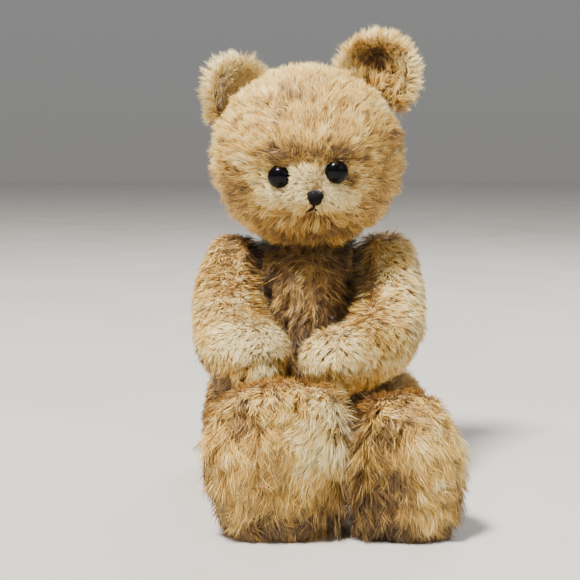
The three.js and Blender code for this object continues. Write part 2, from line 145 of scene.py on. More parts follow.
world = bpy.data.worlds.new("dim_room")
bpy.context.scene.world = world
world.use_nodes = True
sky = world.node_tree
view_ray = add_node(sky, "ShaderNodeTexCoord").outputs["Generated"]
height = add_node(sky, "ShaderNodeSeparateXYZ", None, {"Vector": view_ray}).outputs["Z"]
rise = add_node(sky, "ShaderNodeMapRange", None, {"Value": height, "From Min": -0.02, "From Max": 0.5})
fade = add_node(sky, "ShaderNodeValToRGB", None, {"Fac": rise.outputs["Result"]})
set_ramp(fade, [(0.0, "#d2d0cd"), (0.4, "#d8d9da"), (1.0, "#eef0f3")])
sky.links.new(fade.outputs["Color"], sky.nodes["Background"].inputs["Color"])
sky.nodes["Background"].inputs["Strength"].default_value = 0.38

# ---- The mohair cloth ----
# Every panel is cut from one cloth: a tan cotton backing with long goat hair woven into it. The hair was
# once even and golden. It has felted into locks, its tips have bleached to cream, and it is worn short
# and brown in places. A hair is drawn about four times as thick as real mohair, and so fewer do.
MM = 0.001
HAIR_THICKNESS = 0.30 * MM
THREAD_PITCH = 1.2 * MM  # the backing's thread spacing, drawn coarser than the real 0.5 mm
LEAST_ROOM = 0.3 * MM  # under the pile where it is crushed flat at a joint
MOST_ROOM = 5.2 * MM  # under the longest pile
HEM = 5 * MM  # over which the pile rises beside a joint
THIN_SHARE = 0.6  # of a joint disc's radius, where the hair inside it is worn thin
LOOSE_SHARE = 0.12  # of the hairs, which no lock holds

# Tan cotton in a plain weave, stained unevenly: dull, with a small grid of threads where the hair is thin.
backing_cloth, tree, shader = new_material("tan_cotton_backing")
place = add_node(tree, "ShaderNodeTexCoord").outputs["Object"]
stain = add_node(tree, "ShaderNodeTexNoise", None, {"Vector": place, "Scale": 60, "Detail": 4})
tone = add_node(tree, "ShaderNodeValToRGB", None, {"Fac": stain.outputs["Fac"]})
set_ramp(tone, [(0.3, "#8a6536"), (0.55, "#a9824c"), (0.8, "#bd9a66")])
tree.links.new(tone.outputs["Color"], shader.inputs["Base Color"])
bands = {"Vector": place, "Scale": 1 / (THREAD_PITCH * math.pi)}
warp = add_node(tree, "ShaderNodeTexWave", {"bands_direction": "X"}, bands)
weft = add_node(tree, "ShaderNodeTexWave", {"bands_direction": "Z"}, bands)
weave = add_node(
    tree, "ShaderNodeMath", {"operation": "MULTIPLY"}, {0: warp.outputs["Fac"], 1: weft.outputs["Fac"]}
)
bump = add_node(
    tree, "ShaderNodeBump", None, {"Height": weave.outputs[0], "Strength": 0.4, "Distance": 0.2 * MM}
)
tree.links.new(bump.outputs["Normal"], shader.inputs["Normal"])
shader.inputs["Roughness"].default_value = 0.95

# Mohair's smooth scales give a silky shine. Along each hair the colour goes from a root painted dark as
# the shade deep in the pile to a bleached tip, and across the map it goes from brown through gold to
# cream.
mohair, tree, shader = new_material("worn_mohair")
hair_map = add_node(tree, "ShaderNodeUVMap", {"uv_map": "OFBake"})
parts = add_node(tree, "ShaderNodeSeparateXYZ", None, {"Vector": hair_map.outputs["UV"]})
bleached = add_node(
    tree,
    "ShaderNodeMath",
    {"operation": "MULTIPLY_ADD"},
    {0: parts.outputs["X"], 1: 0.12, 2: parts.outputs["Y"]},
)
hue = add_node(tree, "ShaderNodeValToRGB", None, {"Fac": bleached.outputs[0]})
set_ramp(
    hue,
    [
        (0.0, "#3a2817"),
        (0.2, "#73593c"),
        (0.4, "#b48743"),
        (0.58, "#dfb04f"),
        (0.78, "#f6d375"),
        (1.0, "#ffefb4"),
    ],
)
# The root end is painted darker: painted shade deep in the pile.
depth = add_node(tree, "ShaderNodeValToRGB", None, {"Fac": parts.outputs["X"]})
set_ramp(depth, [(0.0, "#b09e84"), (0.4, "#f2ebdf"), (0.8, "#ffffff")])
# Sockets 6 and 7 are the two colours that the mix multiplies.
tone = add_node(
    tree,
    "ShaderNodeMix",
    {"data_type": "RGBA", "blend_type": "MULTIPLY"},
    {"Factor": 1.0, 6: hue.outputs["Color"], 7: depth.outputs["Color"]},
)
tree.links.new(tone.outputs[2], shader.inputs["Base Color"])
shader.inputs["Roughness"].default_value = 0.5
shader.inputs["Specular IOR Level"].default_value = 0.3
shader.inputs["Sheen Weight"].default_value = 0.2
shader.inputs["Sheen Roughness"].default_value = 0.4


def smooth_step(low, high, value):
    """0 at low, 1 at high, and a smooth change between. high may be the lower of the two."""
    share = np.clip((value - low) / (high - low), 0, 1)
    return share * share * (3 - 2 * share)


def unit(vectors):
    """The vectors at length 1."""
    return vectors / np.maximum(np.linalg.norm(vectors, axis=-1, keepdims=True), 1e-9)


def near(places, spot, radius):
    """1 round a spot in millimetres, fading to 0 at this radius."""
    return smooth_step(1.0, 0.3, np.linalg.norm(places / MM - np.array(spot), axis=1) / radius)


def patches(places, spots):
    """The sum of patches of wear and painted shade, given as (change, spot in millimetres, radius)."""
    return sum(change * near(places, spot, radius) for change, spot, radius in spots)


def ripple(places, wavelength, seed):
    """A smooth field of about -1 to 1 that changes over this wavelength."""
    rng = np.random.default_rng(seed)
    total = np.zeros(len(places))
    for _ in range(7):
        heading = rng.normal(size=3)
        heading *= 2 * math.pi / wavelength / np.linalg.norm(heading)
        total += np.sin(places @ heading * rng.uniform(0.6, 1.5) + rng.uniform(0, 2 * math.pi))
    return total / 3.2


def middle(node):
    """The middle of a CAD node's box."""
    low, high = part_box(node)
    return (np.array(low) + np.array(high)) / 2


joints = {joint["name"]: joint for joint in frame["record"]["behaviour"]["joints"]}


def beside_joints(places, body, share=1.0):
    """0 within this share of the radius of this body's joint discs, and 1 clear of them. The diagonal of
    a disc's box is 2.83 radii."""
    clear = np.ones(len(places))
    for name, joint in joints.items():
        if body in (joint["parent"], joint["child"]):
            low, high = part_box(name.replace("_turn", "_outer_disc"))
            radius = (Vector(high) - Vector(low)).length / 2.83
            away = np.linalg.norm(places - np.array(joint["pos_m"]), axis=1)
            clear = np.minimum(clear, smooth_step(radius * share, radius * share + HEM, away))
    return clear


def crease_density(pressed):
    """Hair is sparse on a joint's disc and thickest round its rim, where it hides the crease."""
    return 0.15 + pressed + 5 * pressed * (1 - pressed)


def room_under(comb, places, normals, body):
    """How far the backing lies below the tips of the pile that comb describes."""
    hairs = comb(places, normals)
    room = np.clip(hairs["length"] * np.cos(hairs["lean"] * 1.05), LEAST_ROOM, MOST_ROOM)
    return LEAST_ROOM + (room - LEAST_ROOM) * beside_joints(places, body)


def outer_surface(cover, passages):
    """The outside of a CAD shell as a closed mesh, without the inner wall. passages are the ends and
    radii of the small holes that join the two walls."""
    shell = bmesh.new()
    shell.from_mesh(frame["nodes"][cover].data)
    bmesh.ops.remove_doubles(shell, verts=shell.verts, dist=1e-6)
    cut = []
    for face in shell.faces:
        for start, end, radius in passages:
            along = (end - start).normalized()
            offset = face.calc_center_median() - start
            height = offset.dot(along)
            if 0 <= height <= (end - start).length and (offset - along * height).length < radius:
                cut.append(face)
                break
    bmesh.ops.delete(shell, geom=cut, context="FACES")
    front = [max((v for v in shell.verts if v.link_faces), key=lambda v: v.co.z)]
    kept = set(front)
    while front:
        vertex = front.pop()
        for edge in vertex.link_edges:
            other = edge.other_vert(vertex)
            if other not in kept:
                kept.add(other)
                front.append(other)
    bmesh.ops.delete(shell, geom=[v for v in shell.verts if v not in kept], context="VERTS")
    bmesh.ops.holes_fill(shell, edges=[e for e in shell.edges if e.is_boundary], sides=0)
    bmesh.ops.triangulate(shell, faces=[f for f in shell.faces if len(f.verts) > 4])
    bmesh.ops.recalc_face_normals(shell, faces=shell.faces)
    mesh = bpy.data.meshes.new(cover)
    shell.to_mesh(mesh)
    shell.free()
    return mesh


def apply_modifier(piece, kind, **settings):
    """Adds a modifier with these settings and applies it."""
    modifier = piece.modifiers.new(kind.lower(), kind)
    for name, value in settings.items():
        setattr(modifier, name, value)
    bpy.ops.object.select_all(action="DESELECT")
    bpy.context.view_layer.objects.active = piece
    piece.select_set(True)
    bpy.ops.object.modifier_apply(modifier=modifier.name)


def numbers_of(mesh, what):
    """Every vertex's place, "co", or direction, "normal", as an array."""
    found = np.empty(len(mesh.vertices) * 3)
    mesh.vertices.foreach_get(what, found)
    return found.reshape(-1, 3)


def move_to(mesh, places):
    mesh.vertices.foreach_set("co", places.ravel())
    mesh.update()


def surface_of(mesh):
    """A mesh as a surface to measure to."""
    return BVHTree.FromPolygons([v.co for v in mesh.vertices], [tuple(p.vertices) for p in mesh.polygons])


def sewn_skin(name, node, body, comb, outside, voxel, swell):
    """A stuffed skin that lies below a CAD surface by the height of its pile. It starts lower than
    that, and pressure swells it, but no further than its cloth can give."""
    shape = surface_of(outside)
    skin = bpy.data.objects.new(name, outside)
    bpy.context.collection.objects.link(skin)
    apply_modifier(skin, "REMESH", mode="VOXEL", voxel_size=voxel)
    apply_modifier(skin, "SMOOTH", factor=0.5, iterations=3)
    places, normals = numbers_of(skin.data, "co"), numbers_of(skin.data, "normal")
    move_to(skin.data, places - normals * room_under(comb, places, normals, body)[:, None])
    if swell:
        before = numbers_of(skin.data, "co")
        cloth = skin.modifiers.new("stuffing_pressure", "CLOTH")
        cloth.settings.quality = 4
        cloth.settings.use_pressure = True
        cloth.settings.uniform_pressure_force = 4
        cloth.settings.effector_weights.gravity = 0
        for step in range(1, 21):
            bpy.context.scene.frame_set(step)
        swelled = numbers_of(skin.evaluated_get(bpy.context.evaluated_depsgraph_get()).data, "co")
        skin.modifiers.remove(cloth)
        bpy.context.scene.frame_set(1)
        moved = swelled - before
        reach = np.linalg.norm(moved, axis=1, keepdims=True)
        move_to(skin.data, before + moved * np.minimum(1, swell / np.maximum(reach, 1e-9)))
    apply_modifier(skin, "SMOOTH", factor=0.4, iterations=2)
    apply_modifier(skin, "SUBSURF", levels=1, render_levels=1)
    places, normals = numbers_of(skin.data, "co"), numbers_of(skin.data, "normal")
    room = room_under(comb, places, normals, body)
    for i, spot in enumerate(places):
        surface, facing, _, _ = shape.find_nearest(Vector(spot))
        sunk = (surface - Vector(spot)).dot(facing)
        places[i] += np.array(facing) * (sunk - room[i])
    move_to(skin.data, places)
    apply_modifier(skin, "SMOOTH", factor=0.3, iterations=1)
    for polygon in skin.data.polygons:
        polygon.use_smooth = True
    skin.data.materials.clear()
    skin.data.materials.append(backing_cloth)
    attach(skin, body)
    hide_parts(node)
    return skin


def stuffed_skin(body, comb, passages=()):
    """The skin of one stuffed body, from its CAD cover. Each joint's pin goes through a small bore."""
    bores = []
    for joint in joints.values():
        if body in (joint["parent"], joint["child"]):
            at = Vector(joint["pos_m"])
            reach = Vector(joint["axis"]).normalized() * 4 * MM
            bores.append((at - reach, at + reach, 1.5 * MM))
    outside = outer_surface(f"{body}_cover", [*bores, *passages])
    return sewn_skin(f"{body}_skin", f"{body}_cover", body, comb, outside, voxel=4 * MM, swell=2 * MM)


def scatter(skin, count, comb, rng):
    """Random places on a skin with their normals, closer together where comb's density is higher."""
    mesh = skin.data
    mesh.calc_loop_triangles()
    corners = np.empty(len(mesh.loop_triangles) * 3, dtype=np.int64)
    mesh.loop_triangles.foreach_get("vertices", corners)
    corners = corners.reshape(-1, 3)
    places, normals = numbers_of(mesh, "co"), numbers_of(mesh, "normal")
    a, b, c = (places[corners[:, i]] for i in range(3))
    weight = np.linalg.norm(np.cross(b - a, c - a), axis=1)
    weight *= comb((a + b + c) / 3, unit(normals[corners].mean(1)))["density"]
    weight = weight.cumsum()
    chosen = np.searchsorted(weight, rng.random(count) * weight[-1])
    first, second = rng.random((count, 1)), rng.random((count, 1))
    over = first + second > 1
    first, second = np.where(over, 1 - first, first), np.where(over, 1 - second, second)
    shares = np.stack([1 - first - second, first, second], axis=1)
    return (places[corners[chosen]] * shares).sum(1), unit((normals[corners[chosen]] * shares).sum(1))


def hair_lines(roots, normals, heading, turn, length, lean, bend, steps):
    """Centre lines of hairs that stand at their lean and lie over along their heading, turned by turn
    about the normal. A hair is steeper at its root than at its tip. bend is how far it strays sideways."""
    heading = unit(heading - normals * (heading * normals).sum(1, keepdims=True))
    sideways = np.cross(normals, heading)
    heading = heading * np.cos(turn)[:, None] + sideways * np.sin(turn)[:, None]
    sideways = np.cross(normals, heading)
    points = [roots]
    for low, high in zip(steps[:-1], steps[1:]):
        halfway = (low + high) / 2
        angle = lean * (0.65 + 0.5 * halfway)
        step = normals * np.cos(angle)[:, None] + heading * np.sin(angle)[:, None]
        step = unit(step + sideways * (bend * (halfway * 2 - 0.4))[:, None])
        points.append(points[-1] + step * (length * (high - low))[:, None])
    return np.stack(points, axis=1)


def pile(name, skin, body, count, lock_count, comb, seed, bends=1):
    """A mesh of hairs on a skin, each a narrow blade with this many bends. comb(places, normals) gives
    each place's heading, length in metres, lean from upright in radians, colour from 0, brown, to 1,
    cream, density, and how tightly its hairs gather into locks."""
    rng = np.random.default_rng(seed)
    steps = np.linspace(0, 1, bends + 2)
    roots, normals = scatter(skin, count, comb, rng)
    lock_roots, lock_normals = scatter(skin, lock_count, comb, rng)
    nearest = KDTree(lock_count)
    for i, spot in enumerate(lock_roots):
        nearest.insert(spot, i)
    nearest.balance()
    lock = np.array([nearest.find(spot)[1] for spot in roots])

    # Every lock turns, leans, bends and fades its own way, and its hairs differ from it by less.
    locks = comb(lock_roots, lock_normals)
    lock_turn = rng.normal(0, 0.25, lock_count) + 0.45 * ripple(lock_roots, 20 * MM, seed + 1)
    lock_lean = rng.normal(0, 0.12, lock_count)
    lock_length = rng.uniform(0.75, 1.15, lock_count)
    lock_colour = rng.normal(0, 0.12, lock_count) + 0.1 * ripple(lock_roots, 9 * MM, seed + 2)
    lock_bend = rng.normal(0, 0.4, lock_count)
    lock_lines = hair_lines(
        lock_roots,
        lock_normals,
        locks["heading"],
        lock_turn,
        locks["length"] * lock_length,
        np.clip(locks["lean"] + lock_lean, 0.2, 1.4),
        lock_bend,
        steps,
    )
    hairs = comb(roots, normals)
    lines = hair_lines(
        roots,
        normals,
        hairs["heading"],
        lock_turn[lock] + rng.normal(0, 0.28, count),
        hairs["length"] * lock_length[lock] * rng.uniform(0.7, 1.12, count),
        np.clip(hairs["lean"] + lock_lean[lock] + rng.normal(0, 0.14, count), 0.15, 1.45),
        lock_bend[lock] + rng.normal(0, 0.25, count),
        steps,
    )
    loose = rng.random(count) < LOOSE_SHARE
    pull = hairs["gather"] * rng.uniform(0.6, 1, count) * np.where(loose, 0.1, 1)
    for i in range(1, len(steps)):
        lines[:, i] += (lock_lines[lock, i] - lines[:, i]) * (pull * steps[i] ** 0.8)[:, None]
    # No hair goes through the table.
    lines[:, :, 2] = np.maximum(lines[:, :, 2], 0.2 * MM)

    # Each line is widened to a flat blade that narrows to its tip and is shaded as part of the pile.
    along = unit(np.gradient(lines, axis=1))
    upright = np.broadcast_to(normals[:, None, :], along.shape)
    across = unit(np.cross(along, upright))
    roll = rng.normal(0, 0.5, count)[:, None, None]
    across = across * np.cos(roll) + np.cross(along, across) * np.sin(roll)
    half = HAIR_THICKNESS / 2 * rng.uniform(0.7, 1.3, count)[:, None]
    half = half * np.sqrt(1 - 0.6 * steps[:-1])[None, :]
    sides = across[:, :-1] * half[:, :, None]
    pairs = np.stack([lines[:, :-1] - sides, lines[:, :-1] + sides], axis=2).reshape(count, -1, 3)
    vertices = np.concatenate([pairs, lines[:, -1:]], axis=1)
    facing = unit(unit(np.cross(across, along)) * 0.45 + upright * 0.55)
    facing = np.concatenate([np.repeat(facing[:, :-1], 2, axis=1), facing[:, -1:]], axis=1)

    each = vertices.shape[1]
    corners, starts = [], []
    for i in range(bends):
        starts.append(len(corners))
        corners += [2 * i, 2 * i + 1, 2 * i + 3, 2 * i + 2]
    starts.append(len(corners))
    corners += [2 * bends, 2 * bends + 1, 2 * bends + 2]
    corners, starts = np.array(corners), np.array(starts)
    order = np.arange(count)[:, None]
    loops = (corners + each * order).ravel()
    mesh = bpy.data.meshes.new(name)
    mesh.vertices.add(count * each)
    mesh.loops.add(len(loops))
    mesh.polygons.add(count * len(starts))
    mesh.vertices.foreach_set("co", vertices.ravel())
    mesh.loops.foreach_set("vertex_index", loops)
    mesh.polygons.foreach_set("loop_start", (starts + len(corners) * order).ravel())
    mesh.update(calc_edges=True)
    mesh.polygons.foreach_set("use_smooth", np.ones(count * len(starts), dtype=bool))
    mesh.normals_split_custom_set_from_vertices(facing.reshape(-1, 3))

    # About one hair in nine is painted pale, partly for bleached hairs and partly as painted highlights on
    # shiny strands, and one in seventeen is stained.
    colour = hairs["colour"] + lock_colour[lock] + rng.normal(0, 0.1, count)
    colour += rng.choice([0, 0.35, -0.25], count, p=[0.83, 0.11, 0.06])
    colour = np.clip(colour - 0.05, 0.01, 0.92)
    uv = np.empty((count, each, 2))
    uv[:, :, 0] = np.append(np.repeat(steps[:-1], 2), 1)
    uv[:, :, 1] = colour[:, None] + np.append(np.tile([0, 0.01], bends + 1), 0.005)
    layer = mesh.uv_layers.new(name="OFBake")
    layer.uv.foreach_set("vector", uv.reshape(-1, 2)[loops].astype(np.float32).ravel())
    mesh.materials.append(mohair)
    piece = bpy.data.objects.new(name, mesh)
    bpy.context.collection.objects.link(piece)
    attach(piece, body)
    return piece


def flow(places, *directions):
    """A mix of headings given as (share, direction)."""
    total = np.zeros((len(places), 3))
    for share, direction in directions:
        total += np.broadcast_to(share, len(places))[:, None] * unit(np.array(direction, dtype=float))
    return total


# ---- The head ----
# Two side panels and a centre gusset of mohair cloth, packed hard with wood wool over a short snout. A
# pale, close-cropped mask runs under the eyes, and the longer hair of the brow overhangs it. The hair
# was combed outwards from the bridge of the nose.
eye_spots = {side: middle(f"eye_{side}") for side in ("left", "right")}
nose_spot = middle("nose_stitching")
head_middle = middle("head_cover")
eye_line = (eye_spots["left"] + eye_spots["right"]) / 2
EYE_CLEARING = 3.5 * MM  # round an eye's middle, where no hair is rooted
NOSE_CLEARING = 3.8 * MM
MOUTH_CLEARING = 1.4 * MM
HEAD_WEAR_AND_SHADE = [
    (-0.12, (-6, -44, 202), 30),  # the rust brown rub on the forehead
    (-0.24, (45, -25, 187), 15),  # the rub at the left temple
    (-0.16, (-36, -36, 160), 16),  # painted shade in the right cheek
    (0.14, (-34, -40, 176), 14),  # paler beside the right eye
    (-0.9, (20, -52, 163), 6),  # a stain below the left eye
]
# The mouth's stitches as (sideways, up) in millimetres from the middle of the nose.
MOUTH = [((-0.5, -2.8), (-0.8, -5.6)), ((-0.8, -5.5), (-5.0, -7.9)), ((-0.8, -5.5), (2.6, -7.7))]
mouth_lines = [
    tuple(nose_spot[[0, 2]] + np.array(point) * MM for point in stitch) for stitch in MOUTH
]


def away_from_line(places, start, end):
    """How far places are from a line on the face, as seen from the front. The back of the head is far."""
    flat = places[:, [0, 2]]
    share = np.clip(((flat - start) @ (end - start)) / ((end - start) @ (end - start)), 0, 1)
    away = np.linalg.norm(flat - start - share[:, None] * (end - start), axis=1)
    return np.where(places[:, 1] < head_middle[1], away, 1)


def comb_head(places, normals):
    """How the head's hair lies. across and up are millimetres from the middle of the line of the eyes."""
    across, _, up = ((places - eye_line) / MM).T
    front = smooth_step(-6 * MM, -24 * MM, places[:, 1] - head_middle[1])
    bridge = nose_spot + np.array([0, 6 * MM, 5 * MM])
    back = smooth_step(-5 * MM, 32 * MM, places[:, 1] - head_middle[1])
    heading = unit(places - bridge) * (1 - back)[:, None] + flow(places, (back, (0, 0.15, -1)))
    for spot in eye_spots.values():
        heading += unit(spot - places) * (4 * near(places, spot / MM, 9))[:, None]
    # The mask is cropped short from just over the eyes to the chin, and its middle is bleached to cream.
    mask = np.exp(-((across / 27) ** 4) - ((up + 6) / 12.5) ** 4) * front
    cream = np.exp(-((across / 23) ** 4) - ((up + 6.5) / 9.5) ** 4) * front
    eyes = np.clip(sum(near(places, spot / MM, 12) for spot in eye_spots.values()), 0, 1)
    chin = smooth_step(-19, -27, up) * front
    crown = smooth_step(18, 36, up)
    brow = np.exp(-(((up - 9.5) / 5) ** 2) - ((across / 30) ** 4)) * front
    brow *= 0.6 + 0.4 * smooth_step(3, 12, abs(across))
    mouth = near(places, (-7, -57, 149.5), 7) + near(places, (10, -57, 148.5), 6)
    snout = near(places, nose_spot / MM + (-0.5, 1, -4.5), 10)
    # Gold all over. The brow, the rims of the eyes, the chin and the lower face are painted darker as
    # shade:
    # under the brow's overhang, in the eye sockets and under the head. The chin is also brown hair.
    colour = 0.57 + 0.07 * crown - 0.38 * brow + 0.1 * mask + 0.66 * cream - 0.42 * chin
    # Painted shade over the lower face.
    colour -= 0.16 * smooth_step(4, -14, up) * front * (1 - cream) * (1 - chin)
    # Painted shade down the head's left side, away from the key lamp.
    colour -= 0.07 * smooth_step(12, 40, across) * (1 - crown) * (1 - cream)
    # Painted shade in the hollows round the eyes and beside the mouth's stitches.
    rims = sum(near(places, spot / MM + (0, 0, 1.5), 8) for spot in eye_spots.values())
    colour -= 0.25 * mouth + 0.25 * eyes * (1 - cream) + 0.6 * np.clip(rims, 0, 1)
    colour += patches(places, HEAD_WEAR_AND_SHADE)
    colour += 0.07 * ripple(places, 34 * MM, 3) + 0.05 * ripple(places, 11 * MM, 4)
    length = 8.6 + 0.8 * brow - 4.9 * mask + 1.4 * chin - 1.2 * crown
    length -= 2 * eyes * (1 - mask) + 0.8 * mouth + 1.6 * snout
    # No hair is rooted under an eye, the nose or the mouth's stitches.
    clear = np.ones(len(places))
    for spot in eye_spots.values():
        clear *= np.linalg.norm(places - spot, axis=1) > EYE_CLEARING
    clear *= np.linalg.norm((places - nose_spot) * np.array([1, 0.5, 1]), axis=1) > NOSE_CLEARING
    for start, end in mouth_lines:
        clear *= away_from_line(places, start, end) > MOUTH_CLEARING
    pressed = beside_joints(places, "head", THIN_SHARE)
    return {
        "heading": heading,
        "length": length * MM * (0.5 + 0.5 * pressed),
        "lean": 1.0 - 0.3 * brow + 0.1 * mask + 0.1 * chin,
        "colour": colour,
        "density": clear * (0.05 + pressed) * (0.75 + 0.5 * front + 0.5 * mask),
        "gather": 0.6 - 0.3 * mask - 0.25 * near(places, (0, -50, 195), 30),
    }


def shank_passage(side):
    """The hole that an eye's shank takes through the head cover, as its two ends and its radius."""
    front, back = Vector(eye_spots[side]), Vector(middle(f"eye_{side}_shank"))
    away = (back - front).normalized()
    return front + away * 2 * MM, back + away * 9 * MM, 3.3 * MM


head_skin = stuffed_skin("head", comb_head, [shank_passage("left"), shank_passage("right")])
pile("head_pile", head_skin, "head", count=60000, lock_count=4200, comb=comb_head, seed=11)

# ---- The ears ----
# Two layers of the same cloth, sewn round the edge, turned, cupped forward and sewn to the head. They
# hold no stuffing. Their hair stands out all round the rim. The right ear is bleached by the sun, and is
# painted darker towards its foot as shade. The hollow of the left one is painted dark as shade.
LEFT_EAR_WEAR = [
    (-0.2, (23, 5, 238), 13),  # dirt on the rim towards the crown
    (-0.2, (43, -8, 203), 12),  # dirt at the ear's foot
]


def ear_comb(side):
    """The comb of one ear."""
    ear_middle = middle(f"ear_{side}")

    def comb(places, normals):
        """How one ear's hair lies: away from its middle, and away from the head."""
        outward = places - ear_middle
        heading = unit(outward) * smooth_step(4, 16, np.linalg.norm(outward, axis=1) / MM)[:, None]
        heading += 0.9 * unit(places - head_middle)
        rim = smooth_step(12, 21, np.linalg.norm(outward, axis=1) / MM)
        inside = smooth_step(0.1, -0.5, normals[:, 1]) * (1 - rim)
        if side == "left":
            hollow = near(places, (35, 3, 226), 14) * smooth_step(0.2, -0.4, normals[:, 1])
            # The hollow is painted dark as shade.
            colour = 0.56 + 0.3 * rim - 0.7 * hollow + patches(places, LEFT_EAR_WEAR)
        else:
            hollow = np.zeros(len(places))
            # Darker towards the ear's foot: painted shade.
            colour = 1.05 - 0.2 * smooth_step(214, 198, places[:, 2] / MM)
        return {
            "heading": heading,
            "length": (8.4 + 2.2 * inside - 3.5 * hollow) * MM,
            "lean": 1.0 - 0.3 * inside * (side == "right"),
            "colour": colour + 0.12 * ripple(places, 13 * MM, 101),
            "density": 1 + inside,
            "gather": np.full(len(places), 0.7),
        }

    return comb


for side, seed in (("left", 115), ("right", 116)):
    comb = ear_comb(side)
    outside = outer_surface(f"ear_{side}", [])
    ear = sewn_skin(f"ear_{side}_skin", f"ear_{side}", "head", comb, outside, voxel=2 * MM, swell=0)
    pile(f"ear_{side}_pile", ear, "head", count=13500, lock_count=1300, comb=comb, seed=seed)

# ---- The torso ----
# Two panels of the cloth, stuffed hard, with a back that closes by hand. The chest is dark, partly with
# dust and handling and partly as painted shade under the head, and its long hair was combed down and in
# towards the middle.


def comb_torso(places, normals):
    """How the torso's hair lies: down, worn short underneath, and upright where the arms lie on it."""
    across = places[:, 0] / MM
    front = smooth_step(0.2, -0.4, normals[:, 1])
    under = smooth_step(10, 3, places[:, 2] / MM)
    heading = flow(places, (1.0, (0, 0, -1)), (-0.35 * front * np.clip(across / 20, -1, 1), (1, 0, 0)))
    pressed = beside_joints(places, "torso", THIN_SHARE)
    flank = smooth_step(0.5, 0.85, abs(normals[:, 0])) * smooth_step(60, 75, places[:, 2] / MM)
    yoke = smooth_step(116, 128, places[:, 2] / MM)
    behind_arms = np.maximum(flank, yoke)
    return {
        "heading": heading,
        "length": (10.5 - 5 * under) * MM * (0.6 + 0.4 * pressed),
        "lean": 1.08 - 0.5 * behind_arms,
        # The chest is darker partly for dust and partly as painted shade; behind the arms and under the
        # head it is painted shade.
        "colour": 0.4 - 0.2 * front - 0.3 * behind_arms + 0.12 * ripple(places, 30 * MM, 21),
        "density": crease_density(pressed) * (1 - 0.6 * under) * (1 + yoke),
        "gather": np.full(len(places), 0.55),
    }


torso_skin = stuffed_skin("torso", comb_torso)
pile("torso_pile", torso_skin, "torso", count=25000, lock_count=2600, comb=comb_torso, seed=31)

# ---- The arms ----
# Long tapering arms of the cloth that bend at the elbow and end in blunt paws. The left arm keeps its pile
# in loose locks. The right arm is worn to a short nap, bleached to cream over the wrist, with a few brown
# curls left underneath. Shade is painted on both arms under the paws, on the sides the torso hides and
# over the shoulders below the head.
LEFT_ARM_WEAR = [
    (-0.34, (33, -62, 93), 24),  # the brown of the forearm
    (0.12, (6, -80, 82), 12),  # the bleached top of the paw
    (-0.2, (7, -83, 70), 8),  # dirt on the tip of the paw
]
RIGHT_ARM_WEAR_AND_SHADE = [
    (-0.14, (-50, -29, 112), 20),  # painted shade on the outside of the upper arm
    (0.18, (-36, -44, 104), 7),  # a pale rub inside the elbow
]


def inner_side(places, normals, inward):
    """1 on the side of an arm that the torso and the head hide. inward is x's sign towards the torso."""
    facing = normals[:, 0] * inward
    beside = smooth_step(0.35, 0.8, facing) * smooth_step(-62, -48, places[:, 1] / MM)
    shoulder = smooth_step(112, 122, places[:, 2] / MM) * smooth_step(0.0, 0.6, facing)
    return np.maximum(beside, 0.6 * shoulder)


def comb_arm_left(places, normals):
    """How the left arm's hair lies: down and in, and longer under the paw."""
    paw = smooth_step(-50, -75, places[:, 1] / MM)
    under = smooth_step(72, 61, places[:, 2] / MM) * paw
    shoulder = smooth_step(118, 130, places[:, 2] / MM)
    heading = flow(places, (1.0, (0.45, -0.1, -0.9)), (0.8 * paw, (-0.1, -0.2, -1)))
    hidden = inner_side(places, normals, -1)
    # The shoulder below the head, the side the torso hides, the underside of the paw and the downward
    # faces are painted darker as shade.
    colour = 0.9 - 0.3 * under - 0.1 * shoulder - 0.4 * hidden + patches(places, LEFT_ARM_WEAR)
    colour -= 0.16 * smooth_step(0.1, -0.7, normals[:, 2])
    colour += 0.05 * ripple(places, 30 * MM, 41)
    pressed = beside_joints(places, "arm_left", THIN_SHARE)
    return {
        "heading": heading,
        "length": (6.4 + 3.5 * under + 2 * hidden) * MM * (0.6 + 0.4 * pressed),
        "lean": 1.2 - 0.5 * hidden - 0.1 * under,
        "colour": colour,
        "density": crease_density(pressed) * (1 + 0.8 * paw),
        "gather": 0.3 + 0.4 * under,
    }


def comb_arm_right(places, normals):
    """How the right arm's hair lies: worn short over the wrist, with one tuft left below the paw."""
    worn = near(places, (-27, -77, 92), 30)
    paw = smooth_step(-50, -75, places[:, 1] / MM)
    under = smooth_step(80, 64, places[:, 2] / MM) * paw
    shoulder = smooth_step(112, 128, places[:, 2] / MM) * smooth_step(-58, -40, places[:, 0] / MM)
    tuft = near(places, (-20, -83, 68), 14)
    hidden = inner_side(places, normals, 1)
    # Under the paw it is darker, partly brown curls and partly painted shade; the shoulder, the side the
    # torso hides and the downward faces are painted shade.
    colour = 0.76 + 0.36 * worn + 0.3 * tuft - 0.55 * under - 0.4 * shoulder
    colour -= 0.4 * hidden + 0.2 * smooth_step(0.2, -0.6, normals[:, 2])
    colour += patches(places, RIGHT_ARM_WEAR_AND_SHADE) + 0.06 * ripple(places, 26 * MM, 61)
    pressed = beside_joints(places, "arm_right", THIN_SHARE)
    return {
        "heading": flow(places, (1.0, (-0.2, -0.2, -0.95)), (0.8 * tuft, (0.6, -0.5, -0.6))),
        "length": (5.8 - 1.2 * worn + 3.5 * under + 5 * tuft + 2 * hidden) * MM * (0.6 + 0.4 * pressed),
        "lean": 1.15 - 0.45 * hidden - 0.15 * under,
        "colour": colour,
        "density": crease_density(pressed) * (1 + 0.8 * paw),
        "gather": 0.25 - 0.05 * worn + 0.5 * under,
    }


for body, comb, seed in (("arm_left", comb_arm_left, 58), ("arm_right", comb_arm_right, 59)):
    skin = stuffed_skin(body, comb)
    pile(f"{body}_pile", skin, body, count=34000, lock_count=2300, comb=comb, seed=seed)
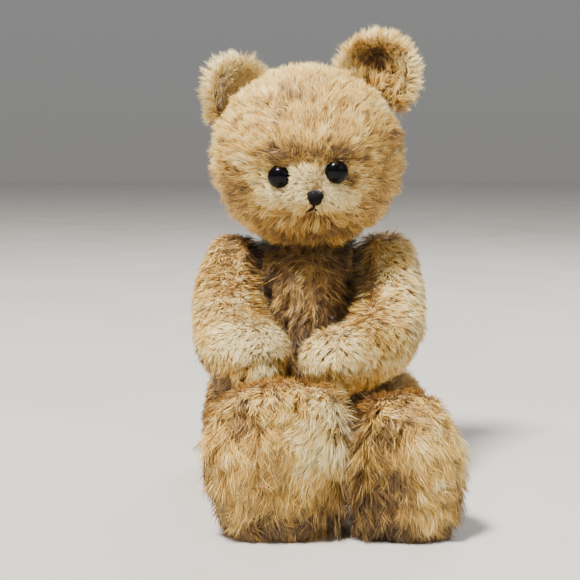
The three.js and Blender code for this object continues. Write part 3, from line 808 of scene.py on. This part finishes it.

# ---- The legs ----
# Straight stuffed legs, with big upright feet cut in one with them. Their tops are nap, painted paler
# where the light from above falls. The fronts of the feet keep their long hair, matted into wisps, cream
# on brown, that hang to the ground.
LEFT_FOOT_WEAR_AND_SHADE = [
    (-0.1, (32, -130, 62), 16),  # the brown of the toes
    (0.3, (66, -118, 50), 22),  # the bleached outer side
    (0.26, (50, -136, 51), 11),  # three cream wisps, one below the other
    (0.26, (50, -136, 31), 10),
    (0.26, (54, -134, 18), 10),
    (-0.12, (63, -127, 12), 14),  # darker at the outer corner, by the ground
    (-0.24, (36, -135, 34), 15),  # the brown middle
    (-0.1, (22, -120, 45), 14),  # painted shade between the feet
]
RIGHT_FOOT_WEAR = [
    (-0.2, (-22, -134, 60), 20),  # the brown of the toes
    (0.45, (7, -126, 54), 22),  # the big cream wisp beside the other foot
    (0.2, (8, -127, 34), 20),  # its lower end
    (-0.16, (-11, -135, 48), 9),  # the brown between the wisps
    (0.16, (-37, -130, 31), 14),  # the outer wisps
    (0.4, (-30, -134, 22), 14),
    (0.1, (-15, -134, 12), 18),  # the middle wisps, at the ground
]
LOWEST_WISP = (54, -134, 18)  # on the left foot, kept out of the painted soil and shade near the ground


def foot_share(places, normals):
    """1 on the fronts of the feet."""
    return smooth_step(-96, -122, places[:, 1] / MM) * smooth_step(0.1, -0.7, normals[:, 1])


def lap_share(places, normals):
    """1 on the tops of the legs, behind the feet, where nothing has flattened the pile."""
    return smooth_step(-112, -100, places[:, 1] / MM) * smooth_step(0.3, 0.8, normals[:, 2])


def leg_comb(side):
    """The comb of one leg."""

    def comb(places, normals):
        """How one leg's hair lies: forwards along the leg, and down the front of the foot."""
        foot = foot_share(places, normals)
        lap = lap_share(places, normals)
        under = smooth_step(8, 3, places[:, 2] / MM)
        top = smooth_step(42, 72, places[:, 2] / MM)
        # Darker towards the ground: partly soil, partly painted shade.
        soil_and_shade = smooth_step(48, 4, places[:, 2] / MM) * (0.85 + 0.3 * ripple(places, 18 * MM, 83))
        inward = normals[:, 0] * (-1 if side == "left" else 1)
        inner = smooth_step(0.3, 0.85, inward) * smooth_step(-90, -105, places[:, 1] / MM)
        if side == "left":
            colour = 0.52 + patches(places, LEFT_FOOT_WEAR_AND_SHADE) + 0.16 * ripple(places, 24 * MM, 82)
            colour -= 0.6 * soil_and_shade * (1 - near(places, LOWEST_WISP, 12))
            # Painted shade on the inner side, between the feet.
            colour -= 0.2 * smooth_step(0.0, 0.9, inward) * (1 - lap)
            heading = flow(places, (1 - foot, (0.15, -0.8, -0.5)), (foot, (0.4, -0.1, -0.9)))
            wisp = 7.5
        else:
            colour = 0.54 + patches(places, RIGHT_FOOT_WEAR) + 0.16 * ripple(places, 24 * MM, 81)
            # Soil and painted shade towards the ground, and painted shade on the inner side between the
            # feet.
            colour -= 0.55 * soil_and_shade + 0.12 * smooth_step(0.5, 0.95, inward)
            swept = smooth_step(-18, 8, places[:, 0] / MM) * foot
            heading = flow(
                places,
                (1 - foot, (-0.15, -0.8, -0.5)),
                (foot * (1 - swept), (0.12, -0.1, -1)),
                (foot * swept * 1.4, (-0.75, -0.1, -0.65)),
            )
            wisp = 8.5
        pressed = beside_joints(places, f"leg_{side}", THIN_SHARE)
        length = 6.6 + wisp * foot * (1 - top) + 1.5 * lap + 4 * inner
        return {
            "heading": heading,
            "length": length * MM * (0.6 + 0.4 * pressed) * (1 - 0.5 * under),
            "lean": 1.05 + 0.15 * foot - 0.2 * lap + 0.15 * top - 0.35 * inner,
            # The tops of the legs are painted paler: painted light from above.
            "colour": colour + 0.36 * lap,
            "density": (0.1 + pressed) * (1 - 0.5 * under),
            "gather": 0.45 + 0.2 * foot - 0.2 * top,
        }

    return comb


for side, seed in (("left", 98), ("right", 99)):
    body = f"leg_{side}"
    comb = leg_comb(side)

    def comb_nap(places, normals, comb=comb):
        hairs = comb(places, normals)
        hairs["density"] *= 1 - 0.85 * foot_share(places, normals)
        return hairs

    def comb_wisps(places, normals, comb=comb):
        hairs = comb(places, normals)
        hairs["density"] *= foot_share(places, normals)
        return hairs

    skin = stuffed_skin(body, comb)
    pile(f"{body}_pile", skin, body, count=23500, lock_count=2200, comb=comb_nap, seed=seed)
    pile(
        f"{body}_wisps",
        skin,
        body,
        count=17000,
        lock_count=900,
        comb=comb_wisps,
        seed=seed + 4,
        bends=2,
    )

# ---- The eyes ----
# Black glass boot buttons: a dome melted onto a wire shank, whose thread pulls it into the head until only
# the front stands out of the hair.
EYE_SINK = 2.6 * MM
EYE_BULGE = 0.72  # the dome's height, as a share of its radius
EYE_BACK = 0.3  # the same behind, where the glass is flat
GLASS_OVERLAP = 0.2 * MM  # of the dome over the CAD button's edge

# Glass melted round: a deep, wet-looking black with one small highlight, hazed by years of rubbing.
eye_glass, tree, shader = new_material("black_bottle_glass")
place = add_node(tree, "ShaderNodeTexCoord").outputs["Object"]
haze = add_node(tree, "ShaderNodeTexNoise", None, {"Vector": place, "Scale": 700, "Detail": 6})
gloss = add_node(
    tree, "ShaderNodeMapRange", None, {"Value": haze.outputs["Fac"], "To Min": 0.1, "To Max": 0.26}
)
tree.links.new(gloss.outputs["Result"], shader.inputs["Roughness"])
deep = add_node(tree, "ShaderNodeValToRGB", None, {"Fac": haze.outputs["Fac"]})
set_ramp(deep, [(0.3, "#030304"), (0.8, "#0a090c")])
tree.links.new(deep.outputs["Color"], shader.inputs["Base Color"])
shader.inputs["IOR"].default_value = 1.52
shader.inputs["Specular IOR Level"].default_value = 0.14

for side in ("left", "right"):
    low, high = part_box(f"eye_{side}")
    radius = (high.z - low.z) / 2 + GLASS_OVERLAP
    back = Vector(middle(f"eye_{side}_shank"))
    facing = (Vector(eye_spots[side]) - back).normalized()
    bpy.ops.object.select_all(action="DESELECT")
    bpy.ops.mesh.primitive_uv_sphere_add(segments=40, ring_count=20, radius=radius)
    glass = bpy.context.object
    glass.name = f"eye_{side}_glass"
    for vertex in glass.data.vertices:
        vertex.co.z *= EYE_BULGE if vertex.co.z > 0 else EYE_BACK
    turn = facing.to_track_quat("Z", "Y").to_matrix().to_4x4()
    glass.data.transform(Matrix.Translation(Vector(eye_spots[side]) - facing * EYE_SINK) @ turn)
    bpy.ops.object.shade_smooth()
    glass.data.materials.append(eye_glass)
    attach(glass, "head")
    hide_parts(f"eye_{side}")

# ---- The nose and the mouth ----
# Pearl cotton, hand stitched through the snout: a padded block of upright satin stitches that narrows to
# the mouth, and three single stitches below it.
NOSE_THREAD = 0.42 * MM  # radius
NOSE_STITCHES = 13
NOSE_WIDTH = 7.8 * MM
NOSE_HEIGHT = 7.2 * MM
NOSE_TAPER = 0.55  # the share of the width that is lost towards the mouth
NOSE_PADDING = 3.0  # the height of the stitched block above the backing, in millimetres
MOUTH_THREAD = 0.62 * MM  # radius
MOUTH_LIFT = 2.3  # above the backing, in millimetres

# Twisted cotton, dyed black: matt and a little fluffy, and worn grey where the top of the nose is rubbed.
stitch_cotton, tree, shader = new_material("black_pearl_cotton")
place = add_node(tree, "ShaderNodeTexCoord").outputs["Object"]
fluff = add_node(tree, "ShaderNodeTexNoise", None, {"Vector": place, "Scale": 1100, "Detail": 6})
height = add_node(tree, "ShaderNodeSeparateXYZ", None, {"Vector": place}).outputs["Z"]
low, high = nose_spot[2] + 0.8 * MM, nose_spot[2] + 3.6 * MM
rubbed = add_node(
    tree, "ShaderNodeMapRange", None, {"Value": height, "From Min": low, "From Max": high, "To Max": 0.3}
)
wear = add_node(
    tree, "ShaderNodeMath", {"operation": "ADD"}, {0: fluff.outputs["Fac"], 1: rubbed.outputs["Result"]}
)
tone = add_node(tree, "ShaderNodeValToRGB", None, {"Fac": wear.outputs[0]})
set_ramp(tone, [(0.5, "#030303"), (0.74, "#111011"), (0.92, "#6b686a")])
tree.links.new(tone.outputs["Color"], shader.inputs["Base Color"])
bump = add_node(
    tree, "ShaderNodeBump", None, {"Height": fluff.outputs["Fac"], "Strength": 0.5, "Distance": 0.1 * MM}
)
tree.links.new(bump.outputs["Normal"], shader.inputs["Normal"])
shader.inputs["Roughness"].default_value = 0.85
shader.inputs["Specular IOR Level"].default_value = 0.25


def thread_piece(name, routes, radius, finish):
    """Stitches as one mesh of round threads along these routes."""
    curve = bpy.data.curves.new(name, "CURVE")
    curve.dimensions = "3D"
    curve.bevel_depth = radius
    curve.bevel_resolution = 2
    curve.use_fill_caps = True
    for route in routes:
        spline = curve.splines.new("POLY")
        spline.points.add(len(route) - 1)
        for point, spot in zip(spline.points, route):
            point.co = (*spot, 1)
    thread = bpy.data.objects.new(name, curve)
    bpy.context.collection.objects.link(thread)
    bpy.ops.object.select_all(action="DESELECT")
    bpy.context.view_layer.objects.active = thread
    thread.select_set(True)
    bpy.ops.object.convert(target="MESH")
    thread = bpy.context.object
    for polygon in thread.data.polygons:
        polygon.use_smooth = True
    thread.data.materials.append(finish)
    return thread


head_surface = surface_of(head_skin.data)


def on_muzzle(sideways, upward, lift):
    """A point this far above the snout's backing, sideways and up from the middle of the nose."""
    start = Vector((nose_spot[0] + sideways * MM, -1, nose_spot[2] + upward * MM))
    return head_surface.ray_cast(start, Vector((0, 1, 0)))[0] + Vector((0, -lift * MM, 0))


# The stitches start along a low arch, and the padding under them bulges most in the middle.
stitches = []
for across in np.linspace(-1, 1, NOSE_STITCHES):
    route = []
    for share in np.linspace(0, 1, 9):
        half = NOSE_WIDTH / 2 * (1 - NOSE_TAPER * share**2)
        top = NOSE_HEIGHT * (0.5 - 0.13 * across**4) * (1 - 0.1 * across**2)
        bulge = math.sqrt(1 - 0.7 * across**2) * math.sin(math.pi * (0.02 + 0.96 * share)) ** 0.5
        upward = top - (NOSE_HEIGHT * 0.5 + top) * share
        route.append(on_muzzle(across * half / MM, upward / MM, NOSE_PADDING * bulge))
    stitches.append(route)
nose = thread_piece("nose_satin_stitches", stitches, NOSE_THREAD, stitch_cotton)
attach(nose, "head")
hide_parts("nose_stitching")

mouth_routes = []
for start, end in MOUTH:
    route = []
    for share in np.linspace(0, 1, 6):
        sideways, upward = (a + (b - a) * share for a, b in zip(start, end))
        arch = math.sin(math.pi * (0.1 + 0.8 * share)) ** 0.5
        route.append(on_muzzle(sideways, upward, MOUTH_LIFT * arch))
    mouth_routes.append(route)
mouth = thread_piece("mouth_stitches", mouth_routes, MOUTH_THREAD, stitch_cotton)
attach(mouth, "head")
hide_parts("mouth_stitching")

# ---- The closing seam of the back ----
# The opening that the stuffing went in by, drawn together by hand with slanting stitches of brown linen
# thread, whose ends go down through the cloth on either side.
SEAM_THREAD = 0.4 * MM  # radius
SEAM_STITCHES = 12
STITCH_RISE = 1.6 * MM
STITCH_END = 2.2 * MM  # from the seam's line to where a stitch goes into the cloth
STITCH_TOP = 1.2 * MM  # from the seam's line to where it bends down
STITCH_DIP = 1.5 * MM
SEAM_DEPTH = 2.6 * MM  # from the tips of the hair down to the stitches

# Linen spun by hand: dull brown, and uneven in colour.
seam_thread, tree, shader = new_material("brown_linen_thread")
place = add_node(tree, "ShaderNodeTexCoord").outputs["Object"]
fluff = add_node(tree, "ShaderNodeTexNoise", None, {"Vector": place, "Scale": 500, "Detail": 4})
tone = add_node(tree, "ShaderNodeValToRGB", None, {"Fac": fluff.outputs["Fac"]})
set_ramp(tone, [(0.3, "#4a331c"), (0.7, "#7a5a38")])
tree.links.new(tone.outputs["Color"], shader.inputs["Base Color"])
shader.inputs["Roughness"].default_value = 0.85
low, high = (np.array(corner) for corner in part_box("back_closing_stitches"))
depth = high[1] - SEAM_DEPTH
seam_routes = []
for i in range(SEAM_STITCHES):
    z = low[2] + (high[2] - low[2]) * (i + 0.5) / SEAM_STITCHES
    seam_routes.append(
        [
            (-STITCH_END, depth - STITCH_DIP, z - STITCH_RISE),
            (-STITCH_TOP, depth, z - STITCH_RISE / 2),
            (STITCH_TOP, depth, z + STITCH_RISE / 2),
            (STITCH_END, depth - STITCH_DIP, z + STITCH_RISE),
        ]
    )
seam = thread_piece("back_seam_stitches", seam_routes, SEAM_THREAD, seam_thread)
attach(seam, "torso")
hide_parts("back_closing_stitches")

# ---- What the skins hold ----
# Wood wool packed hard through the openings, a pair of fibreboard discs at each joint, and the steel
# washers and split pins that draw each pair together. The eyes' shanks are steel wire.

# Fine shavings of pine, packed together: pale curls with dark gaps between them.
wood_wool, tree, shader = new_material("packed_wood_wool")
place = add_node(tree, "ShaderNodeTexCoord").outputs["Object"]
curls = add_node(
    tree,
    "ShaderNodeTexWave",
    {"bands_direction": "DIAGONAL"},
    {"Vector": place, "Scale": 90, "Distortion": 18, "Detail": 3},
)
tone = add_node(tree, "ShaderNodeValToRGB", None, {"Fac": curls.outputs["Fac"]})
set_ramp(tone, [(0.1, "#6b5028"), (0.6, "#b8965a"), (0.9, "#d6ba82")])
tree.links.new(tone.outputs["Color"], shader.inputs["Base Color"])
bump = add_node(
    tree, "ShaderNodeBump", None, {"Height": curls.outputs["Fac"], "Strength": 0.8, "Distance": 1 * MM}
)
tree.links.new(bump.outputs["Normal"], shader.inputs["Normal"])
shader.inputs["Roughness"].default_value = 0.9

# Brown pulp pressed hard and die cut: matt, with fine flecks.
fibreboard, tree, shader = new_material("pressed_fibreboard")
place = add_node(tree, "ShaderNodeTexCoord").outputs["Object"]
fibres = add_node(tree, "ShaderNodeTexNoise", None, {"Vector": place, "Scale": 400, "Detail": 8})
tone = add_node(tree, "ShaderNodeValToRGB", None, {"Fac": fibres.outputs["Fac"]})
set_ramp(tone, [(0.3, "#5f472b"), (0.7, "#8f7450")])
tree.links.new(tone.outputs["Color"], shader.inputs["Base Color"])
shader.inputs["Roughness"].default_value = 0.85

# Mild steel stamped and cut, and never plated: grey metal with brown tarnish, and a blurred shine.
steel, tree, shader = new_material("tarnished_mild_steel")
place = add_node(tree, "ShaderNodeTexCoord").outputs["Object"]
tarnish = add_node(tree, "ShaderNodeTexNoise", None, {"Vector": place, "Scale": 300, "Detail": 6})
tone = add_node(tree, "ShaderNodeValToRGB", None, {"Fac": tarnish.outputs["Fac"]})
set_ramp(tone, [(0.35, "#6b5648"), (0.6, "#a8a39c")])
tree.links.new(tone.outputs["Color"], shader.inputs["Base Color"])
shader.inputs["Metallic"].default_value = 1
shader.inputs["Roughness"].default_value = 0.42

for name, node in frame["nodes"].items():
    if name.endswith("_stuffing"):
        finish = wood_wool
    elif name.endswith("_disc"):
        finish = fibreboard
    elif name.endswith(("_washer", "_split_pin", "_shank")):
        finish = steel
    else:
        continue
    node.data.materials.clear()
    node.data.materials.append(finish)
